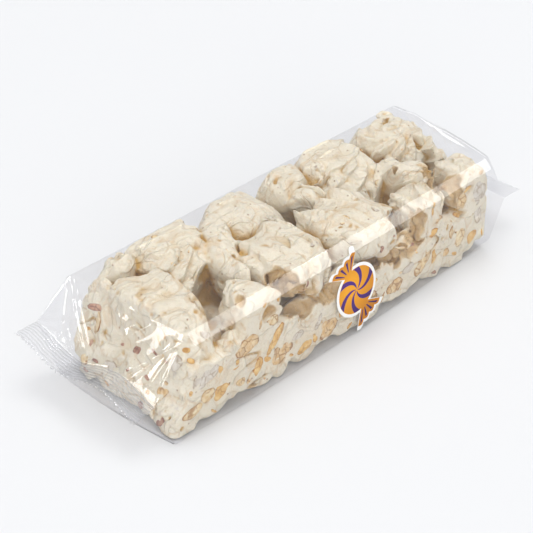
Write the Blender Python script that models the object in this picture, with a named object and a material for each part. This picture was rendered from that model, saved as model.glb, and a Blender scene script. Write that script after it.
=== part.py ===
"""Clear film pack of nougat: a gusseted film bag with crimped, pinked ends, and a die-cut sticker on its front.

Metres, +Z up. X runs along the pack, the front panel faces -Y, and the pack rests on Z = 0. The origin is under the
middle of the top panel.
"""

import math

import bmesh
import bpy
from mathutils import Matrix, Vector

MM = 0.001

# Body of the pack, in millimetres
HEIGHT = 48.0
FRONT_TOP_Y = -35.9
BACK_TOP_Y = 36.5
FRONT_BASE_Y = (-37.3, -34.6)
BACK_BASE_Y = (36.6, 36.0)
BASE_BULGE = 2.4
TOP_CORNER_RADIUS = 4.0
BASE_CORNER_RADIUS = 2.2
LEFT_TOP_X = (-101.0, -105.4)
LEFT_BASE_X = (-112.8, -114.2)
RIGHT_TOP_X = (98.5, 108.6)
RIGHT_BASE_X = (103.0, 106.0)
END_ROUNDING = 2.2
CROWN = 0.8

# Crimped fins where the film is sealed, in millimetres
FIN_LENGTH = 12.2
RIBBED_LENGTH = 10.4
FIN_THICKNESS = 1.0
LEFT_FIN_BASE_X = -114.4
RIGHT_FIN_BASE_X = 112.3
RIB_COUNT = 5
RIB_DEPTH = 0.45
TOOTH_COUNT = 20
TOOTH_DEPTH = 1.3
LEFT_FIN_Y = (-29.0, 44.5)
RIGHT_FIN_Y = (-33.0, 42.5)
LEFT_FIN_Z = 20.4
LEFT_FIN_WAVE = 3.3
LEFT_FIN_WAVE_LENGTH = 52.0
LEFT_FIN_DROOP = math.radians(10.0)
RIGHT_FIN_Z = 19.2
RIGHT_FIN_DROOP = math.radians(3.0)

# How finely the loft is divided
ACROSS = 2 * TOOTH_COUNT
CORNER_STEPS = 3
SIDE_STEPS = 3
BODY_STATIONS = 7
FLAP_STATIONS = 4

# Sticker: a twist-wrapped sweet cut out of thin film, in millimetres
STICKER_CENTRE = (-1.8, 23.3)
STICKER_THICKNESS = 0.3
STICKER_GAP = 0.3
STICKER_TILT = math.radians(28.0)
SWEET_RADIUS = 13.0
WING_REACH = 20.5
WING_HALF_WIDTH = 10.0
NECK_HALF_WIDTH = 4.0
SCALLOPS = 4
SCALLOP_DEPTH = 1.3
CURVE_STEPS = 8


def mix(a, b, t):
    return a + (b - a) * t


def smooth_step(t):
    t = min(max(t, 0.0), 1.0)
    return t * t * (3.0 - 2.0 * t)


def clear_scene():
    for thing in list(bpy.data.objects):
        bpy.data.objects.remove(thing, do_unlink=True)


def make_collection(name):
    collection = bpy.data.collections.new(name)
    bpy.context.scene.collection.children.link(collection)
    return collection


def make_material(name, colour, roughness, alpha=1.0):
    material = bpy.data.materials.new(name)
    material.use_nodes = True
    shader = material.node_tree.nodes["Principled BSDF"]
    shader.inputs["Base Color"].default_value = (*colour, 1.0)
    shader.inputs["Metallic"].default_value = 0.0
    shader.inputs["Roughness"].default_value = roughness
    shader.inputs["Alpha"].default_value = alpha
    return material


def section_outline():
    """The body's cross-section as (across, up) pairs from 0 to 1: base, back side, top, front side."""
    width = BACK_TOP_Y - FRONT_TOP_Y

    def side(sign):
        """Points between base and top on one side, corners included, from the base up."""
        points = []
        for radius, centre_z, start in (
            (BASE_CORNER_RADIUS, BASE_CORNER_RADIUS, -90.0),
            (TOP_CORNER_RADIUS, HEIGHT - TOP_CORNER_RADIUS, 0.0),
        ):
            for step in range(CORNER_STEPS + 1):
                angle = math.radians(start + 90.0 * step / CORNER_STEPS)
                out = width / 2 - radius + radius * math.cos(angle)
                points.append((0.5 + sign * out / width, (centre_z + radius * math.sin(angle)) / HEIGHT))
            if start < 0.0:
                low, high = points[-1][1], 1.0 - TOP_CORNER_RADIUS / HEIGHT
                points += [(0.5 + sign * 0.5, mix(low, high, k / SIDE_STEPS)) for k in range(1, SIDE_STEPS)]
        return points[1:-1]

    def row(up, radius):
        inset = radius / width
        return [(mix(inset, 1.0 - inset, k / ACROSS), up) for k in range(ACROSS + 1)]

    base = row(0.0, BASE_CORNER_RADIUS)
    top = row(1.0, TOP_CORNER_RADIUS)
    return base + side(1.0) + top[::-1] + side(-1.0)[::-1]


def body_point(along, across, up):
    """A point on the film round the nougat, from fractions along, across and up the pack."""
    bulge = BASE_BULGE * (1.0 - (2.0 * along - 1.0) ** 2)
    front = mix(mix(*FRONT_BASE_Y, along) - bulge, FRONT_TOP_Y, up)
    back = mix(mix(*BACK_BASE_Y, along) + bulge, BACK_TOP_Y, up)
    left = mix(mix(*LEFT_BASE_X, across), mix(*LEFT_TOP_X, across), up)
    right = mix(mix(*RIGHT_BASE_X, across), mix(*RIGHT_TOP_X, across), up)
    off_centre = (2.0 * across - 1.0) ** 2
    pulled_in = END_ROUNDING * off_centre
    return Vector(
        (
            mix(left + pulled_in, right - pulled_in, along),
            mix(front, back, across),
            up * (HEIGHT - CROWN * off_centre),
        )
    )


def fin_base_z(end, y):
    """Height of the seal line. The left one waves, as the film is gathered there."""
    if end > 0:
        return RIGHT_FIN_Z
    return LEFT_FIN_Z + LEFT_FIN_WAVE * math.cos(math.tau * (y - LEFT_FIN_Y[1]) / LEFT_FIN_WAVE_LENGTH)


def fin_ring(end, reach):
    """One ring of points round a fin, at a distance from its seal line; the ring order is that of the section."""
    y_front, y_back = RIGHT_FIN_Y if end > 0 else LEFT_FIN_Y
    base_x = RIGHT_FIN_BASE_X if end > 0 else LEFT_FIN_BASE_X
    half = FIN_THICKNESS / 2
    at_tip = reach > RIBBED_LENGTH
    rib = 0.0 if at_tip else RIB_DEPTH * (0.5 - abs((reach / RIBBED_LENGTH * RIB_COUNT) % 1.0 - 0.5))

    def place(across, offset, beyond=0.0, tooth=0.0):
        y = mix(y_front, y_back, across)
        droop = RIGHT_FIN_DROOP if end > 0 else LEFT_FIN_DROOP * smooth_step(1.1 - 1.5 * across)
        out = reach + tooth
        x = base_x + end * (out * math.cos(droop) - offset * math.sin(droop))
        z = fin_base_z(end, y) - out * math.sin(droop) + offset * math.cos(droop)
        return Vector((x, y + beyond, z))

    side_points = 2 * CORNER_STEPS + SIDE_STEPS - 1
    turns = [math.pi * (k + 1) / (side_points + 1) for k in range(side_points)]
    teeth = [-TOOTH_DEPTH if at_tip and k % 2 else 0.0 for k in range(ACROSS + 1)]
    low = [place(k / ACROSS, rib - half, tooth=teeth[k]) for k in range(ACROSS + 1)]
    high = [place(k / ACROSS, rib + half, tooth=teeth[k]) for k in range(ACROSS + 1)]
    back = [place(1.0, rib - half * math.cos(turn), beyond=half * math.sin(turn)) for turn in turns]
    front = [place(0.0, rib + half * math.cos(turn), beyond=-half * math.sin(turn)) for turn in turns]
    return low + back + high[::-1] + front


def bag_rings():
    """All rings of the loft, from the left fin's outer edge to the right one's."""
    outline = section_outline()
    body = [
        [body_point(station / (BODY_STATIONS - 1), across, up) for across, up in outline]
        for station in range(BODY_STATIONS)
    ]
    rib_edges = [RIBBED_LENGTH * k / (2 * RIB_COUNT) for k in range(2 * RIB_COUNT)] + [FIN_LENGTH]
    rings = [fin_ring(-1, reach) for reach in reversed(rib_edges)]
    for station in range(FLAP_STATIONS - 1, 0, -1):
        share = station / FLAP_STATIONS
        rings.append([a.lerp(b, share) for a, b in zip(body[0], fin_ring(-1, 0.0))])
    rings += body
    for station in range(1, FLAP_STATIONS):
        share = station / FLAP_STATIONS
        rings.append([a.lerp(b, share) for a, b in zip(body[-1], fin_ring(1, 0.0))])
    rings += [fin_ring(1, reach) for reach in rib_edges]
    return rings


def close_tip(mesh, ring):
    """Closes the outer edge of a fin: a quad between each pair of points, low and high, and one face at each end."""
    side = (len(ring) - 2 * (ACROSS + 1)) // 2
    low = ring[: ACROSS + 1]
    back = ring[ACROSS + 1 : ACROSS + 1 + side]
    high = ring[ACROSS + 1 + side : 2 * (ACROSS + 1) + side][::-1]
    front = ring[2 * (ACROSS + 1) + side :]
    for k in range(ACROSS):
        mesh.faces.new((low[k], low[k + 1], high[k + 1], high[k]))
    mesh.faces.new([low[-1], *back, high[-1]])
    mesh.faces.new([high[0], *front, low[0]])


def make_bag(collection):
    """The sealed film bag as one closed solid: a loft from fin to fin round the body."""
    shape = bmesh.new()
    rings = [[shape.verts.new(point * MM) for point in ring] for ring in bag_rings()]
    for ring, following in zip(rings, rings[1:]):
        for k in range(len(ring)):
            after = (k + 1) % len(ring)
            shape.faces.new((ring[k], ring[after], following[after], following[k]))
    close_tip(shape, rings[0])
    close_tip(shape, rings[-1])
    bmesh.ops.recalc_face_normals(shape, faces=shape.faces)
    mesh = bpy.data.meshes.new("bag")
    shape.to_mesh(mesh)
    shape.free()
    mesh.shade_smooth()
    mesh.set_sharp_from_angle(angle=math.radians(35.0))
    bag = bpy.data.objects.new("bag", mesh)
    mesh.materials.append(make_material("clear polypropylene film", (0.83, 0.79, 0.70), 0.15, alpha=0.55))
    collection.objects.link(bag)


def sweet_outline():
    """Outline of the wrapped sweet, its twist along the second axis: a round body with a fan at each end."""
    meeting = math.asin(NECK_HALF_WIDTH / SWEET_RADIUS)
    arc = [mix(-math.pi / 2 + meeting, math.pi / 2 - meeting, k / CURVE_STEPS) for k in range(CURVE_STEPS + 1)]
    right_side = [(SWEET_RADIUS * math.cos(a), SWEET_RADIUS * math.sin(a)) for a in arc]
    top_fan = []
    for k in range(SCALLOPS * CURVE_STEPS + 1):
        share = k / (SCALLOPS * CURVE_STEPS)
        dip = SCALLOP_DEPTH * abs(math.sin(math.pi * share * SCALLOPS))
        top_fan.append((mix(WING_HALF_WIDTH, -WING_HALF_WIDTH, share), WING_REACH - SCALLOP_DEPTH + dip))
    half_turn = right_side + top_fan
    return half_turn + [(-x, -y) for x, y in half_turn]


def make_sticker(collection):
    """The sticker as a flat filled outline, standing just clear of the front panel and leaning with it."""
    curve = bpy.data.curves.new("sticker", "CURVE")
    curve.dimensions = "2D"
    curve.fill_mode = "BOTH"
    curve.extrude = STICKER_THICKNESS / 2 * MM
    spline = curve.splines.new("POLY")
    points = sweet_outline()
    spline.points.add(len(points) - 1)
    for point, (x, y) in zip(spline.points, points):
        point.co = (x * MM, y * MM, 0.0, 1.0)
    spline.use_cyclic_u = True
    sticker = bpy.data.objects.new("sticker", curve)

    x, z = STICKER_CENTRE
    base = body_point(along=0.5, across=0.0, up=0.0)
    top = body_point(along=0.5, across=0.0, up=1.0)
    lean = math.atan2(top.y - base.y, HEIGHT)
    y = mix(base.y, top.y, z / HEIGHT) - (STICKER_GAP + STICKER_THICKNESS / 2) / math.cos(lean)
    upright = Matrix.Rotation(math.pi / 2 - lean, 4, "X") @ Matrix.Rotation(STICKER_TILT, 4, "Z")
    sticker.matrix_world = Matrix.Translation(Vector((x, y, z)) * MM) @ upright
    curve.materials.append(make_material("printed sticker", (0.76, 0.42, 0.03), 0.35))
    collection.objects.link(sticker)


def main():
    clear_scene()
    collection = make_collection("nougat block")
    make_bag(collection)
    make_sticker(collection)


main()
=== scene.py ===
"""Nougat block in a clear film pack: the finished look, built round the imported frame.

Lengths in the functions are millimetres in the frame's own axes: X runs along the pack, -Y points out of
the front panel and +Z points up.
"""

import math

import bmesh
import bpy
import numpy as np
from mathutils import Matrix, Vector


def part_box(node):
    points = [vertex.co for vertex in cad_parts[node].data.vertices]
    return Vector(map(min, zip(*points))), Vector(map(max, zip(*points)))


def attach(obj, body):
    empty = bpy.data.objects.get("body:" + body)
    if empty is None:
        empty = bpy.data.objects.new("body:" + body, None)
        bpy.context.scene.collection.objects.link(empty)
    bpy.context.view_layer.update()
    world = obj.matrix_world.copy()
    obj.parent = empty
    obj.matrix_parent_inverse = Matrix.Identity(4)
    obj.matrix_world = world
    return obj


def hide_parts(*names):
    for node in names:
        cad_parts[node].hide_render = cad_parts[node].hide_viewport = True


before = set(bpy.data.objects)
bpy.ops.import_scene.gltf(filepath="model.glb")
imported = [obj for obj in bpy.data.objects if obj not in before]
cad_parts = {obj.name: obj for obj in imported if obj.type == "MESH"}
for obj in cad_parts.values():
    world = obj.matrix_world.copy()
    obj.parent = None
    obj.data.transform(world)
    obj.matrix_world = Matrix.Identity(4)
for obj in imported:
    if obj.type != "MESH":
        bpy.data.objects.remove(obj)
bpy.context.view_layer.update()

import openvdb
from mathutils import Vector

bl_info = {
    "name": "Nougat block",
    "version": (1, 0, 0),
    "blender": (4, 5, 0),
    "location": "View3D > Sidebar > Nougat",
    "description": "Builds a block of nut nougat in a clear film pack, with its studio",
    "category": "Object",
}

MM = 0.001
HEIGHT = float(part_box("bag")[1][2]) / MM

# Film body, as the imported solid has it
FRONT_TOP_Y = -35.9
BACK_TOP_Y = 36.5
FRONT_BASE_Y = (-37.3, -34.6)
BACK_BASE_Y = (36.6, 36.0)
BASE_BULGE = 2.4
LEFT_TOP_X = (-101.0, -105.4)
LEFT_BASE_X = (-112.8, -114.2)
RIGHT_TOP_X = (98.5, 108.6)
RIGHT_BASE_X = (103.0, 106.0)
END_ROUNDING = 2.2
CROWN = 0.8

# Crimped fins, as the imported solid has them
FIN_LENGTH = 12.2
TOOTH_DEPTH = 1.3
LEFT_FIN_BASE_X = -114.4
RIGHT_FIN_BASE_X = 112.3
LEFT_FIN_Y = (-29.0, 44.5)
RIGHT_FIN_Y = (-33.0, 42.5)
LEFT_FIN_Z = 20.4
LEFT_FIN_WAVE = 3.3
LEFT_FIN_WAVE_LENGTH = 52.0
LEFT_FIN_DROOP = math.radians(10.0)
RIGHT_FIN_Z = 19.2
RIGHT_FIN_DROOP = math.radians(3.0)

# Cut planes of the nougat
FACE_TOP_Y = -35.0
FACE_BELLY = 1.3
BACK_Y = 34.6
LEFT_TOP = -97.6
LEFT_SLOPE = 0.27
RIGHT_FRONT = 95.2
RIGHT_SLANT = 0.13
BASE_Z = 0.7
LID_Z = 47.1
EDGE_SUM = 78.6


def linear(code):
    """An sRGB hex colour as linear red, green and blue."""
    channels = [int(code[k : k + 2], 16) / 255 for k in (0, 2, 4)]
    return tuple(c / 12.92 if c <= 0.04045 else ((c + 0.055) / 1.055) ** 2.4 for c in channels)


def mix(a, b, t):
    """From a to b by the share t."""
    return a + (b - a) * t


def smooth_step(t):
    """0 below 0, 1 above 1, and a smooth rise between."""
    t = np.clip(t, 0.0, 1.0)
    return t * t * (3.0 - 2.0 * t)


# Settings


class NougatSettings(bpy.types.PropertyGroup):
    """Size of the detail and colours of the nougat and its nuts."""

    voxel: bpy.props.FloatProperty(
        name="Voxel", description="Grid step of the nougat's surface", default=0.5 * MM, unit="LENGTH"
    )
    most_triangles: bpy.props.IntProperty(
        name="Most triangles", description="Triangles left in the nougat's mesh", default=198000
    )
    seed: bpy.props.IntProperty(name="Seed", description="Seed of every random draw", default=11)
    skin: bpy.props.FloatVectorProperty(
        name="Skin", description="Pulled, satin nougat", default=linear("ECE3CE"), size=3, subtype="COLOR"
    )
    cut: bpy.props.FloatVectorProperty(
        name="Cut face", description="Nougat where the knife went", default=linear("F1E9D4"), size=3,
        subtype="COLOR",
    )
    # Painted shade: tan where the nougat lies deep between the lumps and little light reaches it
    crevice_shade: bpy.props.FloatVectorProperty(
        name="Crevice", description="Nougat deep between lumps", default=linear("CCA352"), size=3,
        subtype="COLOR",
    )
    # Painted shade: brown on the walls of pits, cracks and torn gaps
    hollow_shade: bpy.props.FloatVectorProperty(
        name="Hollow", description="Brown walls of pits and torn gaps", default=linear("C6983E"), size=3,
        subtype="COLOR",
    )


class FilmSettings(bpy.types.PropertyGroup):
    """Gloss and clarity of the film."""

    tint: bpy.props.FloatVectorProperty(
        name="Tint", description="What one layer lets through", default=linear("FAFAFB"), size=3,
        subtype="COLOR",
    )
    roughness: bpy.props.FloatProperty(
        name="Roughness", description="Blur of the film's reflections", default=0.06, subtype="FACTOR"
    )


class StickerSettings(bpy.types.PropertyGroup):
    """Colours of the printed sticker."""

    gold: bpy.props.FloatVectorProperty(
        name="Gold", description="Golden yellow print", default=linear("EFA312"), size=3, subtype="COLOR"
    )
    amber: bpy.props.FloatVectorProperty(
        name="Amber", description="Shaded edge of the gold", default=linear("C0780A"), size=3, subtype="COLOR"
    )
    purple: bpy.props.FloatVectorProperty(
        name="Purple", description="Purple print", default=linear("4A1C80"), size=3, subtype="COLOR"
    )
    border: bpy.props.FloatProperty(
        name="Border", description="Width of the white border", default=1.5 * MM, unit="LENGTH"
    )


class StageSettings(bpy.types.PropertyGroup):
    """Floor, light and camera."""

    floor: bpy.props.FloatVectorProperty(
        name="Floor", description="Plain pale floor", default=linear("D9DADC"), size=3, subtype="COLOR"
    )
    azimuth: bpy.props.FloatProperty(
        name="Azimuth", description="Camera's turn from looking along +Y", default=math.radians(-46.2),
        subtype="ANGLE",
    )
    elevation: bpy.props.FloatProperty(
        name="Elevation", description="Camera's angle above the floor", default=math.radians(33.53),
        subtype="ANGLE",
    )
    distance: bpy.props.FloatProperty(
        name="Distance", description="Camera to the point that it looks at", default=1.176, unit="LENGTH"
    )


# Materials


def new_material(name):
    """A material with an empty node tree, and that tree."""
    material = bpy.data.materials.new(name)
    material.use_nodes = True
    material.node_tree.nodes.clear()
    return material, material.node_tree


def add_node(tree, kind, inputs=None, out=0, stops=(), **settings):
    """Adds a node, sets its properties and colour stops, sets or links its inputs, and gives one output."""
    node = tree.nodes.new("ShaderNode" + kind)
    for name, value in settings.items():
        setattr(node, name, value)
    for _ in stops[2:]:
        node.color_ramp.elements.new(0.5)
    for k, (place, colour) in enumerate(stops):
        node.color_ramp.elements[k].position = place
        node.color_ramp.elements[k].color = (*colour, 1.0)
    for name, value in (inputs or {}).items():
        socket = node.inputs[name]
        if isinstance(value, bpy.types.NodeSocket):
            tree.links.new(value, socket)
        else:
            socket.default_value = (*value, 1.0) if socket.type == "RGBA" else value
    return node.outputs[out] if node.outputs else None


def nougat_material(settings):
    """Egg-white nougat: satin where it was pulled, matte and finely pored where it was cut.

    The eye gets ivory skin, with painted shade: tan in the creases and sunk folds, brown on the walls of the
    pits and in the pinprick holes.
    """
    material, tree = new_material("nougat, pulled and cut")
    place = add_node(tree, "TexCoord", out="Object")
    made = {}
    for name in ("cut", "crevice_shade", "hollow_shade"):
        made[name] = add_node(tree, "Attribute", out="Fac", attribute_name=name)
    # Pulled strands and pressed folds: wandering lines, stretched three ways. They are drawn about 0.5 mm
    # wide, coarser than the hair-thin ones of real nougat, so that they show
    drift = add_node(tree, "TexNoise", {"Vector": place, "Scale": 1.0 / (16.0 * MM), "Detail": 1.0}, "Color")
    reach = (16.0 * MM, 16.0 * MM, 16.0 * MM)
    shifted = add_node(tree, "VectorMath", {0: drift, 1: reach, 2: place}, operation="MULTIPLY_ADD")
    laid = [
        add_node(tree, "Mapping", {"Vector": shifted, "Rotation": (0.3, 0.2, turn), "Scale": stretch})
        for turn, stretch in ((0.5, (0.30, 1.0, 0.8)), (2.1, (0.35, 1.0, 0.7)), (1.2, (1.0, 0.9, 0.35)))
    ]
    # Noises: width of a feature in millimetres, detail, roughness, distortion
    for name, where, size, detail, roughness, distortion in (
        ("cloud", place, 9.0, 3.0, 0.55, 0.0),
        ("fleck", place, 2.2, 4.0, 0.55, 0.0),
        ("vein", place, 5.0, 3.0, 0.6, 0.8),
        ("cold fleck", place, 1.6, 3.0, 0.6, 0.0),
        ("cold patch", place, 10.0, 1.0, 0.5, 0.0),
        ("strand patch", place, 13.0, 1.0, 0.5, 0.0),
        ("fold patch", shifted, 9.0, 1.0, 0.5, 0.0),
        ("strand", laid[0], 8.0, 1.5, 0.45, 0.0),
        ("fold", laid[1], 8.0, 1.5, 0.45, 0.0),
        ("cross fold", laid[2], 8.0, 1.5, 0.45, 0.0),
        ("grain", place, 0.9, 5.0, 0.65, 0.0),
        ("soft", place, 3.0, 3.0, 0.5, 0.0),
        ("crinkle", place, 3.4, 4.0, 0.55, 1.2),
        ("crumb", place, 1.8, 3.0, 0.6, 0.0),
    ):
        made[name] = add_node(tree, "TexNoise", {
            "Vector": where, "Scale": 1.0 / (size * MM), "Detail": detail, "Roughness": roughness,
            "Distortion": distortion,
        })
    # Distance from where a noise passes through its middle, which draws wandering lines
    for name in ("vein", "strand", "fold", "cross fold", "crinkle", "crumb"):
        off = add_node(tree, "Math", {0: made[name], 1: 0.5}, operation="SUBTRACT")
        made[name] = add_node(tree, "Math", {0: off}, operation="ABSOLUTE")
    # Air holes, 0.5 to 1 mm across: a dot in a few of the cells, painted brown as the shade inside them
    made["dot"] = add_node(tree, "TexVoronoi", {
        "Vector": place, "Scale": 1.0 / (4.6 * MM), "Randomness": 1.0,
    })
    made["few"] = add_node(tree, "SeparateColor", {"Color": made["dot"].node.outputs["Color"]})
    # Smooth steps: name, source, where it starts and ends, and its values there
    for name, source, low, high, first, last in (
        ("vein", "vein", 0.0, 0.022, 0.28, 0.0),
        ("tan fleck", "fleck", 0.62, 0.8, 0.0, 0.35),
        ("cold fleck", "cold fleck", 0.56, 0.70, 0.0, 1.0),
        ("cold patch", "cold patch", 0.48, 0.62, 0.0, 0.34),
        ("dot", "dot", 0.05, 0.13, 1.0, 0.0),
        ("strand", "strand", 0.004, 0.042, 1.0, 0.0),
        ("fold", "fold", 0.004, 0.042, 1.0, 0.0),
        ("cross fold", "cross fold", 0.004, 0.042, 1.0, 0.0),
        ("strand patch", "strand patch", 0.36, 0.52, 0.0, 1.0),
        ("fold patch", "fold patch", 0.42, 0.58, 0.0, 1.0),
        ("crinkle", "crinkle", 0.0, 0.06, 0.0, 1.0),
    ):
        made[name] = add_node(tree, "MapRange", {
            "Value": made[source], "From Min": low, "From Max": high, "To Min": first, "To Max": last,
        }, interpolation_type="SMOOTHSTEP")
    # Sums and products: name, operation, terms
    for name, operation, *terms in (
        ("cold", "MULTIPLY", "cold fleck", "cold patch"),
        # Painted shade: tan in the crevices, broken up by the flecks
        ("tan", "MULTIPLY_ADD", "fleck", 0.6, 0.8),
        ("tan", "MULTIPLY", "crevice_shade", "tan"),
        ("few", "GREATER_THAN", "few", 0.42),
        ("hole", "MULTIPLY", "dot", "few"),
        # Painted shade in the air holes
        ("hole shade", "MULTIPLY", "hole", 0.8),
        ("uncut", "MULTIPLY_ADD", "cut", -0.85, 1.0),
        ("raised", "MULTIPLY", "strand", "strand patch"),
        ("raised", "MULTIPLY", "raised", "uncut"),
        ("sunk", "MAXIMUM", "fold", "cross fold"),
        ("sunk", "MULTIPLY", "sunk", "fold patch"),
        ("sunk", "MULTIPLY", "sunk", "uncut"),
        # Painted shade in the sunk folds
        ("sunk shade", "MULTIPLY", "sunk", 0.30),
        ("worn", "MULTIPLY", "crevice_shade", 0.8),
        ("worn", "MAXIMUM", "worn", "hollow_shade"),
        ("crumb", "MULTIPLY", "crumb", "worn"),
        ("crinkle height", "MULTIPLY_ADD", "cut", -0.12, 0.22),
        ("height", "MULTIPLY", "grain", 0.25),
        ("height", "MULTIPLY_ADD", "soft", 0.5, "height"),
        ("height", "MULTIPLY_ADD", "crinkle", "crinkle height", "height"),
        ("height", "MULTIPLY_ADD", "crumb", 4.0, "height"),
        ("height", "MULTIPLY_ADD", "hole", -0.7, "height"),
        ("height", "MULTIPLY_ADD", "raised", 1.1, "height"),
        ("height", "MULTIPLY_ADD", "sunk", -0.6, "height"),
        ("roughness", "MULTIPLY_ADD", "cut", 0.28, 0.30),
    ):
        inputs = {k: made[term] if isinstance(term, str) else term for k, term in enumerate(terms)}
        made[name] = add_node(tree, "Math", inputs, operation=operation)
    skin = tuple(settings.skin)
    stops = [(0.3, tuple(0.95 * c for c in skin)), (0.7, skin)]
    body = add_node(tree, "ValToRGB", {"Fac": made["cloud"]}, stops=stops)
    for share, colour in (
        ("cut", settings.cut),
        ("vein", linear("C4A878")),
        ("tan fleck", linear("D8C29A")),
        ("cold", linear("BDB4B8")),
        # Painted shade from here on: tan in the crevices, brown in the pits, gaps and air holes, tan in the
        # sunk folds
        ("tan", settings.crevice_shade),
        ("hollow_shade", settings.hollow_shade),
        ("hole shade", linear("9B6B3A")),
        ("sunk shade", linear("CFA66C")),
    ):
        body = add_node(tree, "Mix", {0: made[share], 6: body, 7: colour}, 2, data_type="RGBA")
    bump = add_node(tree, "Bump", {"Height": made["height"], "Strength": 0.7, "Distance": 0.7 * MM})
    shader = add_node(tree, "BsdfPrincipled", {
        "Base Color": body, "Roughness": made["roughness"], "Normal": bump, "IOR": 1.46,
        "Specular IOR Level": 0.5, "Subsurface Weight": 0.22, "Subsurface Scale": 1.4 * MM,
        "Subsurface Radius": (1.0, 0.78, 0.52),
    })
    add_node(tree, "OutputMaterial", {"Surface": shader})
    return material


def nut_material(name, kernel, toasted, skin):
    """Roasted nut, cut through: a waxy kernel, mottled, with thin brown skin as a ring round the section."""
    material, tree = new_material(name)
    place = add_node(tree, "TexCoord", out="Object")
    rim = add_node(tree, "Attribute", out="Fac", attribute_name="rim")
    # Noises: width of a feature in millimetres, detail, roughness
    mottle, cloud, breaks = (
        add_node(tree, "TexNoise", {
            "Vector": place, "Scale": 1.0 / (size * MM), "Detail": detail, "Roughness": roughness,
        })
        for size, detail, roughness in ((2.6, 4.0, 0.65), (4.5, 2.0, 0.5), (2.4, 2.0, 0.5))
    )
    cells = add_node(tree, "TexVoronoi", {
        "Vector": place, "Scale": 1.0 / (3.6 * MM),
    }, feature="DISTANCE_TO_EDGE")
    # Smooth steps: source, where it starts and ends, and its values there
    veiled, kept, split, split_patch = (
        add_node(tree, "MapRange", {
            "Value": source, "From Min": low, "From Max": high, "To Min": first, "To Max": last,
        }, interpolation_type="SMOOTHSTEP")
        for source, low, high, first, last in (
            (cloud, 0.52, 0.66, 0.0, 1.0),
            (breaks, 0.34, 0.46, 0.0, 1.0),
            (cells, 0.02, 0.10, 1.0, 0.0),
            (cloud, 0.40, 0.52, 0.0, 1.0),
        )
    )
    ring = add_node(tree, "Math", {0: rim, 1: kept}, operation="MULTIPLY")
    split = add_node(tree, "Math", {0: split, 1: split_patch}, operation="MULTIPLY")
    split_tint = add_node(tree, "Math", {0: split, 1: 0.75}, operation="MULTIPLY")
    colour = add_node(tree, "ValToRGB", {"Fac": mottle}, stops=[(0.38, kernel), (0.6, toasted)])
    veil = tuple(0.6 * a + 0.4 * b for a, b in zip(kernel, skin))
    for share, tone in ((veiled, veil), (ring, skin), (split_tint, skin)):
        colour = add_node(tree, "Mix", {0: share, 6: colour, 7: tone}, 2, data_type="RGBA")
    relief = add_node(tree, "Math", {0: split, 1: -0.5, 2: mottle}, operation="MULTIPLY_ADD")
    bump = add_node(tree, "Bump", {"Height": relief, "Strength": 0.6, "Distance": 0.5 * MM})
    shader = add_node(tree, "BsdfPrincipled", {
        "Base Color": colour, "Roughness": 0.45, "Normal": bump, "IOR": 1.47, "Specular IOR Level": 0.4,
    })
    add_node(tree, "OutputMaterial", {"Surface": shader})
    return material


def film_material(settings):
    """Cast polypropylene film, heat sealed: see-through, with hard reflections and milky crimped seals."""
    material, tree = new_material("polypropylene film, clear")
    place = add_node(tree, "TexCoord", out="Object")
    crimp = add_node(tree, "Attribute", out="Fac", attribute_name="crimp")
    ripple, fine = (
        add_node(tree, "TexNoise", {
            "Vector": place, "Scale": 1.0 / (size * MM), "Detail": 2.0, "Roughness": 0.5,
        })
        for size in (14.0, 3.0)
    )
    height = add_node(tree, "Math", {0: fine, 1: 0.10, 2: ripple}, operation="MULTIPLY_ADD")
    bump = add_node(tree, "Bump", {"Height": height, "Strength": 0.25, "Distance": 1.0 * MM})
    tint = tuple(settings.tint)
    dull = tuple(0.90 * c for c in tint)
    seen_through = add_node(tree, "Mix", {0: crimp, 6: tint, 7: dull}, 2, data_type="RGBA")
    clear = add_node(tree, "BsdfTransparent", {"Color": seen_through})
    gloss = add_node(tree, "BsdfGlossy", {
        "Color": linear("FFFFFF"), "Roughness": settings.roughness, "Normal": bump,
    })
    milk = add_node(tree, "BsdfDiffuse", {"Color": linear("F3F5F7")})
    # Two surfaces of a 30 micron sheet: about 7% mirror face on, and more at grazing angles
    facing = add_node(tree, "LayerWeight", {"Blend": 0.5, "Normal": bump}, "Facing")
    grazing = add_node(tree, "Math", {0: facing, 1: 5.0}, operation="POWER")
    mirror = add_node(tree, "Math", {0: grazing, 1: 0.6, 2: 0.07}, operation="MULTIPLY_ADD")
    surface = add_node(tree, "MixShader", {0: mirror, 1: clear, 2: gloss})
    haze = add_node(tree, "Math", {0: crimp, 1: 0.09, 2: 0.008}, operation="MULTIPLY_ADD")
    hazy = add_node(tree, "MixShader", {0: haze, 1: surface, 2: milk})
    add_node(tree, "OutputMaterial", {"Surface": hazy})
    return material


def print_material(name, centre, edge, reach):
    """Gloss-laminated paper, printed: ink that darkens away from the sweet's middle, under a clear coat."""
    material, tree = new_material(name)
    place = add_node(tree, "TexCoord", out="Object")
    away = add_node(tree, "VectorMath", {0: place, 1: reach["centre"]}, "Value", operation="DISTANCE")
    shade = add_node(tree, "MapRange", {
        "Value": away, "From Min": reach["start"] * MM, "From Max": reach["end"] * MM,
    })
    colour = add_node(tree, "Mix", {0: shade, 6: centre, 7: edge}, 2, data_type="RGBA")
    fibre = add_node(tree, "TexNoise", {
        "Vector": place, "Scale": 1.0 / (0.5 * MM), "Detail": 2.0, "Roughness": 0.5,
    })
    bump = add_node(tree, "Bump", {"Height": fibre, "Strength": 0.06, "Distance": 0.05 * MM})
    shader = add_node(tree, "BsdfPrincipled", {
        "Base Color": colour, "Roughness": 0.5, "Coat Weight": 0.15, "Coat Roughness": 0.12,
        "Specular IOR Level": 0.3, "Normal": bump,
    })
    add_node(tree, "OutputMaterial", {"Surface": shader})
    return material


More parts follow.
